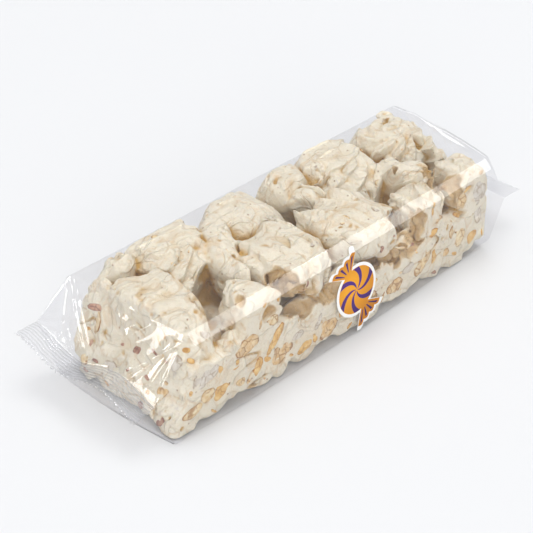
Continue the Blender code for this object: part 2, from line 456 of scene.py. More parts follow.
def paper_material(settings):
    """Seamless studio paper: matte and even."""
    material, tree = new_material("studio paper, matte")
    place = add_node(tree, "TexCoord", out="Object")
    fibre = add_node(tree, "TexNoise", {
        "Vector": place, "Scale": 1.0 / (6.0 * MM), "Detail": 2.0, "Roughness": 0.5,
    })
    pale = tuple(settings.floor)
    stops = [(0.2, tuple(0.997 * c for c in pale)), (0.8, pale)]
    colour = add_node(tree, "ValToRGB", {"Fac": fibre}, stops=stops)
    shader = add_node(tree, "BsdfPrincipled", {"Base Color": colour, "Roughness": 0.9})
    add_node(tree, "OutputMaterial", {"Surface": shader})
    return material


# Fields on a grid


class Grid:
    """Distances on a regular grid over the nougat, in millimetres: negative inside."""

    def __init__(self, low, high, step, seed):
        self.low = np.array(low, dtype=np.float32)
        self.step = step
        self.axes = [np.arange(a, b + step, step, dtype=np.float32) for a, b in zip(low, high)]
        self.shape = tuple(len(a) for a in self.axes)
        self.random = np.random.default_rng(seed)

    def window(self, low, high):
        """Slices of the grid between two corners."""
        first = np.clip(np.floor((np.array(low) - self.low) / self.step).astype(int), 0, None)
        last = np.ceil((np.array(high) - self.low) / self.step).astype(int) + 1
        return tuple(slice(a, min(b, n)) for a, b, n in zip(first, last, self.shape))

    def places(self, window=None):
        """X, Y and Z over a window, each on its own axis."""
        window = window or (slice(None),) * 3
        x, y, z = (a[w] for a, w in zip(self.axes, window))
        return x[:, None, None], y[None, :, None], z[None, None, :]

    def noise(self, sizes):
        """Smooth noise of about -1 to 1 whose features have the given sizes along X, Y and Z."""
        counts = [int((a[-1] - a[0]) / s) + 5 for a, s in zip(self.axes, sizes)]
        field = self.random.uniform(-1.0, 1.0, counts).astype(np.float32)
        for axis, (places, size, count) in enumerate(zip(self.axes, sizes, counts)):
            t = (places - places[0]) / size
            whole = np.floor(t).astype(int)
            part = t - whole
            weights = np.zeros((len(places), count), np.float32)
            rows = np.arange(len(places))
            weights[rows, whole] = (1 - part) ** 3 / 6
            weights[rows, whole + 1] = (3 * part**3 - 6 * part**2 + 4) / 6
            weights[rows, whole + 2] = (-3 * part**3 + 3 * part**2 + 3 * part + 1) / 6
            weights[rows, whole + 3] = part**3 / 6
            field = np.moveaxis(np.tensordot(weights, field, axes=(1, axis)), 0, axis)
        return 2.2 * field

    def sample(self, field, points):
        """A field's values at points, blended between the eight corners of each cell."""
        t = (points - self.low) / self.step
        t = np.clip(t, 0, np.array(self.shape) - 1.001)
        i = t.astype(int)
        f = t - i
        total = np.zeros(len(points), np.float32)
        for dx in (0, 1):
            for dy in (0, 1):
                for dz in (0, 1):
                    weight = np.abs(1 - dx - f[:, 0]) * np.abs(1 - dy - f[:, 1]) * np.abs(1 - dz - f[:, 2])
                    total += weight * field[i[:, 0] + dx, i[:, 1] + dy, i[:, 2] + dz]
        return total


def soft_min(a, b, k):
    """The smaller of two fields, with the corner where they meet rounded over k."""
    h = np.clip(k - np.abs(a - b), 0.0, None) / k
    return np.minimum(a, b) - h * h * k * 0.25


def soft_max(a, b, k):
    """The larger of two fields, with the corner where they meet rounded over k."""
    return -soft_min(-a, -b, k)


def blur(field, radius, times=2):
    """Box blur of a grid by cumulative sums, radius in cells."""
    for _ in range(times):
        for axis in range(3):
            widths = [(radius + 1, radius) if k == axis else (0, 0) for k in range(3)]
            padded = np.pad(field, widths, mode="edge")
            sums = np.cumsum(padded, axis=axis, dtype=np.float32)
            upper = np.take(sums, range(2 * radius + 1, sums.shape[axis]), axis=axis)
            lower = np.take(sums, range(0, sums.shape[axis] - 2 * radius - 1), axis=axis)
            field = (upper - lower) / (2 * radius + 1)
    return field


# Shape of the nougat: each lump is a rounded boulder of pulled nougat
# name: middle, half sizes, turn about Z and lean about X in degrees, fullness (2 is round, 4 is blocky) and
# grain
LUMPS = {
    "corner": ((-89.0, -3.5, 20.0), (17.0, 31.0, 28.8), -16, 0, 3.6, "slab"),
    "corner_foot": ((-94.0, -24.0, 12.0), (20.5, 16.0, 20.0), 0, 0, 3.0, "plain"),
    "wedge": ((-76.0, -31.0, 17.5), (8.0, 8.0, 15.5), 6, 0, 2.6, "plain"),
    "bridge": ((-57.0, -28.0, 31.0), (12.0, 13.5, 16.6), -8, 0, 3.0, "plain"),
    "pillow": ((-22.5, -14.0, 37.0), (19.5, 22.0, 10.0), 14, -2, 3.0, "strands"),
    "long_pillow": ((16.5, -16.5, 36.0), (20.0, 22.5, 11.0), 4, -3, 3.0, "strands"),
    "nose": ((22.0, 10.5, 36.0), (9.0, 10.5, 9.6), 0, 0, 2.3, "plain"),
    "right_post": ((55.5, -27.0, 31.0), (10.5, 13.0, 16.6), 0, 0, 2.5, "strands"),
    "right_corner": ((86.5, -25.0, 33.0), (11.5, 15.0, 15.0), 0, 0, 3.0, "plain"),
    "left_knob": ((-99.5, 24.0, 29.5), (10.0, 10.5, 16.5), 0, 0, 2.6, "plain"),
    "left_bun": ((-82.0, 30.5, 30.5), (11.5, 12.5, 17.5), 20, 0, 2.6, "strands"),
    "dumpling": ((-55.5, 25.0, 28.0), (19.5, 26.0, 22.0), 0, 22, 3.0, "pleats"),
    "finger": ((-37.5, 11.0, 33.5), (8.0, 25.0, 13.0), -20, 6, 2.5, "smooth"),
    "dome": ((-13.5, 24.5, 27.0), (19.0, 21.5, 20.8), 14, 12, 2.7, "smooth"),
    "bud": ((21.0, 29.5, 28.0), (12.5, 14.5, 20.5), 0, 10, 2.5, "smooth"),
    "great_dome": ((51.0, 20.0, 26.5), (21.5, 26.5, 22.0), 0, 14, 3.0, "pleats"),
    "shoulder": ((66.5, -6.0, 33.5), (10.5, 15.0, 13.5), 18, 0, 2.4, "strands"),
    "crown": ((85.0, 21.0, 25.0), (17.0, 18.5, 22.4), 24, 10, 2.6, "pleats"),
    "crown_ridge": ((98.0, 8.5, 30.0), (8.5, 27.0, 14.5), 6, 20, 2.6, "folds"),
}

# Walls of the gaps that the front shows, on the cut face: middle (x, z), half sizes, depth, lean in degrees
GAPS = {
    "behind_corner": ((-77.0, 48.5), (8.0, 15.0), 20.0, 10),
    "torn": ((-39.5, 36.5), (8.0, 13.0), 16.0, 22),
    "torn_foot": ((-32.0, 31.5), (8.0, 4.4), 12.0, 30),
    "under_pillow": ((-12.0, 28.5), (18.0, 3.0), 7.0, 4),
    "under_long_pillow": ((24.0, 26.5), (12.0, 2.8), 9.0, -3),
    "narrow": ((40.0, 37.0), (6.2, 12.5), 22.0, 14),
    "split": ((70.5, 40.5), (6.2, 11.5), 26.0, 6),
    "crack": ((38.0, 24.5), (10.0, 3.0), 9.0, 14),
    "corner_chip": ((-62.0, 6.0), (5.0, 2.4), 4.0, 20),
}

# Pits, their walls brown with painted shade: middle, half sizes
PITS = {
    "socket": ((-54.0, -36.0, 37.5), (3.6, 3.4, 2.6)),
    "eye": ((-14.5, -23.0, 47.6), (1.9, 1.3, 2.0)),
    "second_eye": ((-11.5, -25.0, 47.6), (1.3, 1.0, 1.6)),
    "slot": ((28.5, -11.0, 46.0), (2.6, 1.6, 3.0)),
    "bore": ((60.0, -6.5, 43.5), (1.2, 1.2, 2.6)),
    "end_hollow": ((-103.5, 5.5, 33.0), (2.6, 3.0, 5.5)),
    "end_chip": ((-100.5, 11.0, 40.0), (3.0, 3.0, 2.6)),
    "bite": ((-66.0, -29.0, 45.6), (2.4, 3.0, 2.2)),
    "fold_end": ((79.0, -8.0, 41.0), (3.2, 2.0, 2.2)),
}


def face_y(x, z):
    """The front cut face, a little fuller low down in the middle."""
    return FACE_TOP_Y - FACE_BELLY * (1.0 - (x / 100.0) ** 2) * (1.0 - z / HEIGHT)


def left_x(z):
    return LEFT_TOP - LEFT_SLOPE * (LID_Z - z)


def right_x(y):
    return RIGHT_FRONT + RIGHT_SLANT * (y + 34.0)


def turned(x, y, z, middle, turn, lean):
    """Coordinates in a lump's own frame, turned about Z and then leaned about its X."""
    c, s = math.cos(math.radians(turn)), math.sin(math.radians(turn))
    px, py, pz = x - middle[0], y - middle[1], z - middle[2]
    u = c * px + s * py
    v = -s * px + c * py
    c, s = math.cos(math.radians(lean)), math.sin(math.radians(lean))
    return u, c * v + s * pz, -s * v + c * pz


def boulder(u, v, w, half, fullness, random, facets, rounding=1.0):
    """A rounded, many-sided lump: a full-cornered ellipsoid trimmed by tilted planes."""
    scaled = sum(np.abs(a / h) ** fullness for a, h in zip((u, v, w), half)) ** (1 / fullness)
    field = (scaled - 1.0) * min(half)
    for _ in range(facets):
        n = random.normal(size=3) * (1.0, 1.0, 0.45)
        n /= np.linalg.norm(n)
        dual = fullness / (fullness - 1.0)
        reach = sum(abs(a * b) ** dual for a, b in zip(n, half)) ** (1 / dual) * random.uniform(0.80, 0.97)
        field = soft_max(field, n[0] * u + n[1] * v + n[2] * w - reach, rounding)
    return field


def line(field, width):
    """1 where a noise passes through zero, falling off on both sides: long wandering lines."""
    return np.exp(-((field / width) ** 2))


def overlap(t):
    """Sheets laid one over the next: rises slowly over each whole step of t, then drops at once."""
    part = t - np.floor(t)
    return part**1.6 * (1.0 - smooth_step((part - 0.94) / 0.06))


# Grain of a lump: how many facets it has, and how far its pulled bulges stand out. Pleats run round the lump
# like a dumpling's, folds and strands lie across it, and a slab is nearly flat
GRAINS = {
    "plain": (11, 2.4),
    "slab": (3, 2.0),
    "strands": (11, 3.0),
    "pleats": (5, 2.4),
    "folds": (6, 3.4),
    "smooth": (2, 1.3),
}


def shape_nougat(settings):
    """The nougat as a distance grid, with grids for how closed in by nougat and how deep in a pit or gap each
    place lies, for painted shade.
    """
    step = settings.voxel / MM
    grid = Grid((-112.5, -37.5, -0.5), (105.5, 36.0, 48.5), step, settings.seed)
    random = np.random.default_rng(settings.seed)
    x, y, z = grid.places()
    broad = grid.noise((11.0, 11.0, 9.0))
    medium = grid.noise((4.2, 4.2, 4.2))
    small = grid.noise((1.9, 1.9, 1.9))

    pulled = {
        "x": grid.noise((27.0, 3.6, 5.0)),
        "y": grid.noise((3.6, 27.0, 5.0)),
        "z": grid.noise((4.4, 4.4, 25.0)),
    }
    crest = grid.noise((13.0, 13.0, 12.0))
    folded = grid.noise((6.5, 6.5, 6.0))
    fading = grid.noise((9.0, 9.0, 9.0))
    fine = grid.noise((2.6, 2.6, 2.6))

    bend = [size * grid.noise((13.0, 13.0, 12.0)) for size in (3.4, 3.4, 1.4)]
    pinholes = grid.noise((1.5, 1.5, 1.5))

    # A low bed that fills the block under the lumps, higher towards the front
    top = 22.0 + 3.2 * broad + 2.0 * medium + 7.0 * smooth_step((-y - 20.0) / 8.0)
    field = 0.8 * (z - top) + 1.2 * np.abs(medium) + np.zeros(grid.shape, np.float32)
    for middle, half, turn, lean, fullness, grain in LUMPS.values():
        reach = 1.35 * max(half[0], half[1]) + 3.0
        window = grid.window(
            (middle[0] - reach, middle[1] - reach, middle[2] - half[2] - 6.0),
            (middle[0] + reach, middle[1] + reach, 49.0),
        )
        bent = [place + bend[k][window] for k, place in enumerate(grid.places(window))]
        u, v, w = turned(*bent, middle, turn, lean)
        facets, bulge = GRAINS[grain]
        lump = boulder(u, v, w, half, fullness, random, facets)
        pull = "x" if half[0] * math.cos(math.radians(turn)) > half[1] else "y"
        strand = pulled["z" if grain == "pleats" else pull][window]
        shown = smooth_step(0.5 + 1.4 * fading[window])
        rough = smooth_step(-0.2 - 1.8 * fading[window])
        lump += 0.4 * broad[window]
        # Pulled like taffy: long bulges side by side with sharp creases between them
        lump -= bulge * (np.abs(strand) - 0.4)
        heading, phase = random.uniform(0.0, math.pi), random.uniform(0.0, 1.0)
        across = math.cos(heading) * u + math.sin(heading) * v + 0.5 * w
        if grain == "pleats":
            angle = np.arctan2(v - 3.0, u + 2.0) / math.tau
            spread = np.sqrt((u + 2.0) ** 2 + (v - 3.0) ** 2)
            turns = 5.0 * angle + 0.14 * spread + 0.6 * broad[window]
            lump -= 2.2 * overlap(turns) * smooth_step(spread / 9.0) - 0.8
        elif grain == "folds":
            lump -= 3.4 * overlap(across / 10.0 + 0.9 * broad[window] + phase) - 1.2
            lump += 1.8 * np.abs(crest[window])
        elif grain == "strands":
            laid = overlap(across / 10.0 + 0.8 * broad[window] + phase)
            lump -= 2.2 * laid * smooth_step(0.75 + fading[window]) - 0.5
            lump += 2.0 * np.abs(crest[window]) - 0.5
        elif grain in ("plain", "slab"):
            laid = overlap(across / 15.0 + 1.0 * broad[window] + phase)
            lump -= (1.0 if grain == "slab" else 2.4) * laid * shown - 0.4
            lump += (1.2 if grain == "slab" else 2.4) * np.abs(crest[window]) - 0.6
        lump -= 0.45 * shown * line(strand, 0.06)
        lump += 0.3 * line(strand - 0.35, 0.05)
        if grain not in ("smooth", "slab"):
            lump += rough * (1.1 * np.abs(fine[window]) + 0.3 * small[window])
        field[window] = soft_min(field[window], lump, 0.8)
    field += 0.08 * small
    tiny_pits = smooth_step((pinholes - 0.66) / 0.2) * smooth_step(0.55 - 0.8 * broad)
    cracks = line(grid.noise((12.0, 9.0, 5.0)), 0.028)
    cracks = cracks * smooth_step((grid.noise((8.0, 8.0, 8.0)) - 0.05) / 0.2)
    relief = 0.8 * tiny_pits + 1.3 * cracks
    field += 0.7 * tiny_pits * smooth_step(0.2 - 1.6 * fading)

    # Painted shade: how deep in a gap or pit each place lies, which browns its walls
    hollow_shade = np.zeros(grid.shape, np.float32)
    for (gx, gz), half, depth, lean in GAPS.values():
        c, s = math.cos(math.radians(lean)), math.sin(math.radians(lean))
        u = c * (x - gx) + s * (z - gz)
        w = -s * (x - gx) + c * (z - gz)
        inward = (y - FACE_TOP_Y) / depth
        scaled = np.sqrt((u / half[0]) ** 2 + (w / half[1]) ** 2 + inward**2)
        gap = (scaled - 1.0) * min(half) + 2.4 * medium + 3.4 * np.abs(fine) - 0.6 + 1.0 * small
        field = soft_max(field, -gap, 0.4)
        hollow_shade = np.maximum(hollow_shade, smooth_step(0.7 - gap / 1.6) * (0.85 if half[0] > 4.8 else 0.5))
    for middle, half in PITS.values():
        reach = np.array(half) * 2.0 + 2.0
        window = grid.window(np.array(middle) - reach, np.array(middle) + reach)
        px, py, pz = grid.places(window)
        scaled = np.sqrt(((px - middle[0]) / half[0]) ** 2 + ((py - middle[1]) / half[1]) ** 2
                         + ((pz - middle[2]) / half[2]) ** 2)
        pit = (scaled - 1.0) * min(half) + 0.5 * medium[window] + 0.9 * fine[window]
        field[window] = soft_max(field[window], -pit, 0.8)
        hollow_shade[window] = np.maximum(hollow_shade[window], smooth_step(0.55 - pit / 1.0))

    # The knife's flat faces, the lid of film and the ragged lower edge
    # Painted shade in the pinholes and cracks as well
    hollow_shade = np.maximum(hollow_shade, np.maximum(0.9 * tiny_pits, 0.6 * cracks))
    face = face_y(x, z) - y
    end_relief = 2.4 * smooth_step(0.4 + broad) + 1.4 * np.abs(folded)
    end_relief = end_relief + 0.9 * np.abs(fine) * smooth_step(0.5 + fading)
    for plane, rounding in (
        (face + 0.10 * small + relief, 0.5),
        (y - BACK_Y + 0.3 * medium + relief, 2.0),
        ((left_x(z) - x) / math.hypot(1.0, LEFT_SLOPE) + end_relief + relief, 4.0),
        (x - right_x(y) + 0.25 * medium + relief, 1.0),
        (z - LID_Z - 0.4 + 1.3 * np.abs(pulled["x"]) + 0.3 * medium, 1.6),
        ((z - y - EDGE_SUM) * 0.7071 + 0.15 * medium, 1.4),
    ):
        field = soft_max(field, plane, rounding)
    ragged = 5.0 + 3.6 * grid.noise((7.0, 30.0, 8.0)) + 3.0 * medium + 2.4 * fine
    ragged = ragged - 5.0 * smooth_step((-92.0 - x) / 10.0) * smooth_step((-18.0 - y) / 8.0)
    for out in (face, y - BACK_Y, left_x(z) - x, x - right_x(y)):
        field = soft_max(field, (out - 1.2 * z + ragged) * 0.62, 0.8)
    field = np.maximum(field, BASE_Z - z)

    # Painted shade: how closed in by solid nougat each place is, near and farther round, which tans the
    # crevices
    solid = np.clip(0.5 - field / step, 0.0, 1.0).astype(np.float32)
    near = blur(solid, max(1, round(1.6 / step)))
    around = blur(solid, max(1, round(5.0 / step)))
    crevice_shade = 0.4 * smooth_step((near - 0.56) / 0.2) + 0.9 * smooth_step((around - 0.52) / 0.17)
    return grid, field.astype(np.float32), crevice_shade, hollow_shade


def add_attribute(mesh, name, values):
    """Stores a number for each point, for the material to read."""
    layer = mesh.attributes.new(name, "FLOAT", "POINT")
    layer.data.foreach_set("value", np.asarray(values, dtype=np.float32))


def mesh_points(mesh):
    """Where a mesh's points are, in millimetres."""
    points = np.empty(3 * len(mesh.vertices), np.float32)
    mesh.vertices.foreach_get("co", points)
    return points.reshape(-1, 3) / MM


def mesh_normals(mesh):
    """Which way the surface faces at a mesh's points."""
    normals = np.empty(3 * len(mesh.vertices), np.float32)
    mesh.vertices.foreach_get("normal", normals)
    return normals.reshape(-1, 3)


def new_piece(name, points, faces, material, smooth=True):
    """An object from points in millimetres and faces."""
    mesh = bpy.data.meshes.new(name)
    mesh.from_pydata((np.asarray(points) * MM).tolist(), [], faces)
    mesh.validate()
    if smooth:
        mesh.shade_smooth()
    if material:
        mesh.materials.append(material)
    piece = bpy.data.objects.new(name, mesh)
    bpy.context.scene.collection.objects.link(piece)
    return piece


def reduced(piece, most):
    """Collapses edges until the piece has at most that many triangles."""
    count = sum(len(p.vertices) - 2 for p in piece.data.polygons)
    if count <= most:
        return
    modifier = piece.modifiers.new("reduce", "DECIMATE")
    modifier.ratio = most / count
    view = piece.evaluated_get(bpy.context.evaluated_depsgraph_get())
    mesh = bpy.data.meshes.new_from_object(view)
    old = piece.data
    piece.modifiers.clear()
    piece.data = mesh
    bpy.data.meshes.remove(old)


class NOUGAT_OT_block(bpy.types.Operator):
    """Builds the nougat: a cut slab with boulders of pulled nougat on it."""

    bl_idname = "nougat.block"
    bl_label = "Nougat block"

    def execute(self, context):
        settings = context.scene.nougat
        grid, field, crevice_shade, hollow_shade = shape_nougat(settings)
        volume = openvdb.FloatGrid(3.0)
        volume.copyFromArray(np.clip(field, -3.0, 3.0))
        points, triangles, quads = volume.convertToPolygons(isovalue=0.0, adaptivity=0.0)
        if len(quads) == 0:
            raise RuntimeError("the nougat's grid holds no surface")
        points = points * grid.step + grid.low
        piece = new_piece("nougat", points, quads[:, ::-1].tolist() + triangles[:, ::-1].tolist(), None)
        reduced(piece, settings.most_triangles)
        mesh = piece.data
        mesh.shade_smooth()
        mesh.materials.append(nougat_material(settings))
        places = mesh_points(mesh)
        facing = mesh_normals(mesh)
        x, y, z = places.T
        near_front = np.abs(face_y(x, z) - y) < 0.5
        near_left = x - left_x(z) < 4.5
        near_right = np.abs(right_x(y) - x) < 0.8
        near_back = np.abs(BACK_Y - y) < 0.8
        cut = (
            near_front * smooth_step((-facing[:, 1] - 0.75) / 0.2)
            + near_left * smooth_step((-facing[:, 0] - 0.70) / 0.2)
            + near_right * smooth_step((facing[:, 0] - 0.75) / 0.2)
            + near_back * smooth_step((facing[:, 1] - 0.75) / 0.2)
        )
        add_attribute(mesh, "cut", np.clip(cut, 0.0, 1.0))
        # Painted shade for the crevices and for the pits and gaps, for the material to read
        add_attribute(mesh, "crevice_shade", grid.sample(crevice_shade, places))
        add_attribute(mesh, "hollow_shade", grid.sample(hollow_shade, places))
        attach(piece, "root")
        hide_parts("bag")
        store["grid"], store["field"] = grid, field
        return {"FINISHED"}


# The nougat's grid and field, which the nuts are set on
store = {}


# Nuts, cut flush with the faces
# On the front: (x, z), half sizes, lean in degrees, kind


FRONT_NUTS = [
    ((-67.5, 27.0), (8.2, 5.8), 12, "hazelnut"),
    ((-51.5, 21.5), (2.5, 8.0), -38, "peanut"),
    ((-52.5, 32.0), (6.4, 5.2), 0, "almond"),
    ((-48.5, 12.5), (7.0, 5.2), 18, "hazelnut"),
    ((-37.5, 16.5), (3.4, 2.2), 0, "pale"),
    ((-91.5, 24.0), (7.0, 5.2), 10, "pale"),
    ((-103.0, 36.0), (6.0, 4.0), -20, "almond"),
    ((-85.0, 38.0), (6.5, 3.2), -30, "pale"),
    ((-83.5, 12.0), (4.6, 4.4), 0, "peanut"),
    ((-91.0, 14.0), (4.2, 3.0), 20, "almond"),
    ((-106.0, 22.0), (4.8, 3.0), 10, "peanut"),
    ((-99.0, 10.0), (7.6, 3.2), 16, "almond"),
    ((-73.0, 20.5), (3.6, 1.7), 18, "peanut"),
    ((-62.0, 13.0), (2.5, 4.6), -24, "peanut"),
    ((-24.0, 18.0), (3.0, 7.8), -32, "pale"),
    ((-18.5, 11.0), (6.8, 4.6), 24, "hazelnut"),
    ((-3.0, 20.0), (6.2, 4.4), -12, "almond"),
    ((8.0, 11.0), (7.2, 5.0), 20, "hazelnut"),
    ((20.5, 21.0), (3.0, 6.0), -24, "peanut"),
    ((27.0, 10.5), (5.4, 4.0), 0, "hazelnut"),
    ((36.5, 15.5), (4.2, 2.6), 12, "pale"),
    ((33.0, 32.0), (4.4, 4.2), 0, "pale"),
    ((46.5, 13.5), (7.0, 3.4), 42, "almond"),
    ((55.0, 13.0), (2.4, 4.2), -14, "peanut"),
    ((57.0, 31.5), (8.0, 5.4), 8, "hazelnut"),
    ((51.5, 26.0), (5.2, 1.9), 22, "peanut"),
    ((68.5, 20.5), (2.8, 5.0), -18, "almond"),
    ((74.5, 15.0), (3.8, 5.6), -26, "almond"),
    ((87.5, 33.5), (5.0, 6.6), -10, "pale"),
    ((76.0, 33.0), (1.8, 5.6), 0, "almond"),
    ((88.0, 22.0), (3.2, 5.0), 0, "pale"),
    ((84.0, 10.5), (4.4, 3.2), 20, "peanut"),
    ((-72.0, 10.5), (3.0, 2.0), 0, "almond"),
    ((14.5, 28.0), (2.6, 2.0), 30, "peanut"),
    ((-33.0, 8.5), (4.6, 3.0), 18, "peanut"),
    ((1.0, 6.5), (3.2, 2.2), 0, "pale"),
    ((64.5, 11.0), (3.0, 2.0), 10, "hazelnut"),
]

# On the left end: (y, z), half sizes, lean in degrees, kind
LEFT_NUTS = [
    ((22.5, 27.0), (3.0, 6.2), 4, "almond"),
    ((-3.5, 26.0), (1.9, 5.0), 28, "skinned"),
    ((24.0, 33.0), (5.0, 1.6), -14, "skinned"),
    ((-21.5, 16.0), (2.8, 4.8), 30, "hazelnut"),
    ((-12.0, 5.5), (2.4, 4.6), 34, "skinned"),
    ((-25.0, 5.0), (2.0, 4.0), 30, "skinned"),
    ((25.0, 10.0), (3.4, 2.6), 20, "almond"),
    ((9.0, 13.0), (4.8, 3.0), -16, "pale"),
    ((-27.0, 31.0), (3.0, 5.0), 8, "pale"),
    ((6.0, 24.0), (2.2, 1.4), 0, "skinned"),
    ((14.0, 36.0), (2.6, 1.6), 30, "peanut"),
]

SCATTER = {"back": 44, "right": 16, "base": 40, "top": 34}
CHIPS = {"front": 120, "left": 30}
CHIP_SPANS = {"front": ((-108.0, 94.0), (3.0, 44.0)), "left": ((-31.0, 31.0), (3.0, 42.0))}
NUT_SIDES = 40
NUT_RINGS = 7
NUT_PROUD = 0.16

NUT_KINDS = {
    "hazelnut": ("hazelnut, roasted and cut", "E9D2A8", "D6AE74", "A06C36"),
    "almond": ("almond, blanched and cut", "EFE0BC", "DFC08C", "A8763A"),
    "peanut": ("peanut, roasted and cut", "EBCB8A", "D9A657", "B87D34"),
    "pale": ("nut under a thin veil of nougat", "E3DCD0", "CFC4B4", "B09A80"),
    "skinned": ("nut with its purple-brown skin", "CBA184", "A87762", "7B4A3C"),
}


def outline(sides, half, lean, random):
    """An uneven oval: two slow waves on an ellipse, turned by its lean."""
    t = np.arange(sides) * math.tau / sides
    a, b = random.uniform(0.0, math.tau, 2)
    swell = 1.0 + 0.09 * np.sin(2 * t + a) + 0.07 * np.sin(3 * t + b) + 0.03 * random.normal(size=sides)
    u, w = half[0] * swell * np.cos(t), half[1] * swell * np.sin(t)
    c, s = math.cos(math.radians(lean)), math.sin(math.radians(lean))
    return c * u - s * w, s * u + c * w


def nut_shape(half, lean, random):
    """One cut nut, as (u, w, depth) points: a slightly domed section, closed behind by a bowl."""
    u, w = outline(NUT_SIDES, half, lean, random)
    deep = 0.8 * min(half)
    points, rim, faces = [(0.0, 0.0, -NUT_PROUD)], [0.0], []
    shares = [k / NUT_RINGS for k in range(1, NUT_RINGS + 1)]
    profile = [(s, -NUT_PROUD * (1.0 - s**6)) for s in shares] + [(0.96, 0.35 * deep), (0.7, 0.8 * deep)]
    for share, depth in profile:
        points += [(share * a, share * b, depth) for a, b in zip(u, w)]
        rim += [1.0 if depth > -0.01 else max(0.0, (share - 0.72) / 0.28) ** 2] * NUT_SIDES
    points.append((0.0, 0.0, deep))
    rim.append(1.0)
    for k in range(NUT_SIDES):
        after = (k + 1) % NUT_SIDES
        faces.append((0, 1 + k, 1 + after))
        for ring in range(len(profile) - 1):
            a, b = 1 + ring * NUT_SIDES, 1 + (ring + 1) * NUT_SIDES
            faces.append((a + k, b + k, b + after, a + after))
        last = 1 + (len(profile) - 1) * NUT_SIDES
        faces.append((last + k, len(points) - 1, last + after))
    return np.array(points), rim, faces


# How each side is looked at: a start for a place (a, b) on it, the way in, and the ways along and up
SIDES = {
    "front": (lambda a, b: (a, -39.5, b), (0, 1, 0), (1, 0, 0), (0, 0, 1)),
    "back": (lambda a, b: (a, 38.0, b), (0, -1, 0), (1, 0, 0), (0, 0, 1)),
    "left": (lambda a, b: (-114.0, a, b), (1, 0, 0), (0, 1, 0), (0, 0, 1)),
    "right": (lambda a, b: (106.5, a, b), (-1, 0, 0), (0, 1, 0), (0, 0, 1)),
    "top": (lambda a, b: (a, b, 49.5), (0, 0, -1), (1, 0, 0), (0, 1, 0)),
    "base": (lambda a, b: (a, b, 0.0), (0, 0, 1), (1, 0, 0), (0, 1, 0)),
}
SPANS = {
    "back": ((-100.0, 96.0), (4.0, 42.0)),
    "right": ((-30.0, 31.0), (5.0, 42.0)),
    "base": ((-100.0, 92.0), (-29.0, 29.0)),
    "top": ((-98.0, 94.0), (-30.0, 31.0)),
}


def surface_frame(side, a, b):
    """Where a look at a side first meets the nougat, with its along, up and inward directions there."""
    start, inward, along, up = SIDES[side]
    inward, along, up = (np.array(d, dtype=float) for d in (inward, along, up))
    grid, field = store["grid"], store["field"]
    steps = np.arange(0.0, 16.0, 0.1)
    ray = np.array(start(a, b), dtype=float) + steps[:, None] * inward
    values = grid.sample(field, ray)
    hits = np.nonzero((values < 0.0) & (ray[:, 0] > -112.0))[0]
    if len(hits) == 0 or hits[0] == 0:
        return None
    point = ray[hits[0]]
    offsets = np.eye(3) * 1.6
    slope = grid.sample(field, point + offsets) - grid.sample(field, point - offsets)
    normal = slope / (np.linalg.norm(slope) + 1e-6)
    if normal @ inward > -0.35:
        return None
    along = along - (along @ normal) * normal
    along /= np.linalg.norm(along)
    up = up - (up @ normal) * normal - (up @ along) * along
    up /= np.linalg.norm(up)
    return point, along, up, -normal


def nut_list(random):
    """Every nut as (side, centre, half sizes, lean, kind): the placed ones, then chips and scatter."""
    nuts = [("front", *row) for row in FRONT_NUTS] + [("left", *row) for row in LEFT_NUTS]
    kinds = ["hazelnut", "almond", "peanut", "pale", "almond"]
    taken = {"front": [row[:2] for row in FRONT_NUTS], "left": [row[:2] for row in LEFT_NUTS]}
    for side, count in CHIPS.items():
        (u0, u1), (w0, w1) = CHIP_SPANS[side]
        for _ in range(count):
            centre = (random.uniform(u0, u1), random.uniform(w0, w1))
            lean = random.uniform(0, 180)
            half = (random.uniform(0.8, 2.6), random.uniform(0.6, 1.5))
            kind = ("peanut", "peanut", "hazelnut", "skinned")[int(random.integers(4))]
            if all(math.dist(centre, other) > max(size) * 0.8 + 1.6 for other, size in taken[side]):
                taken[side].append((centre, half))
                nuts.append((side, centre, half, lean, kind))
    for side, count in SCATTER.items():
        (u0, u1), (w0, w1) = SPANS[side]
        kept = []
        for _ in range(count * 6):
            centre = (random.uniform(u0, u1), random.uniform(w0, w1))
            if len(kept) < count and all(math.dist(centre, other) > 10.5 for other in kept):
                kept.append(centre)
                size = random.uniform(0.35, 0.6) if side == "top" else 1.0
                half = (size * random.uniform(3.0, 7.0), size * random.uniform(2.4, 5.0))
                nuts.append((side, centre, half, random.uniform(0, 180), kinds[int(random.integers(5))]))
    return nuts


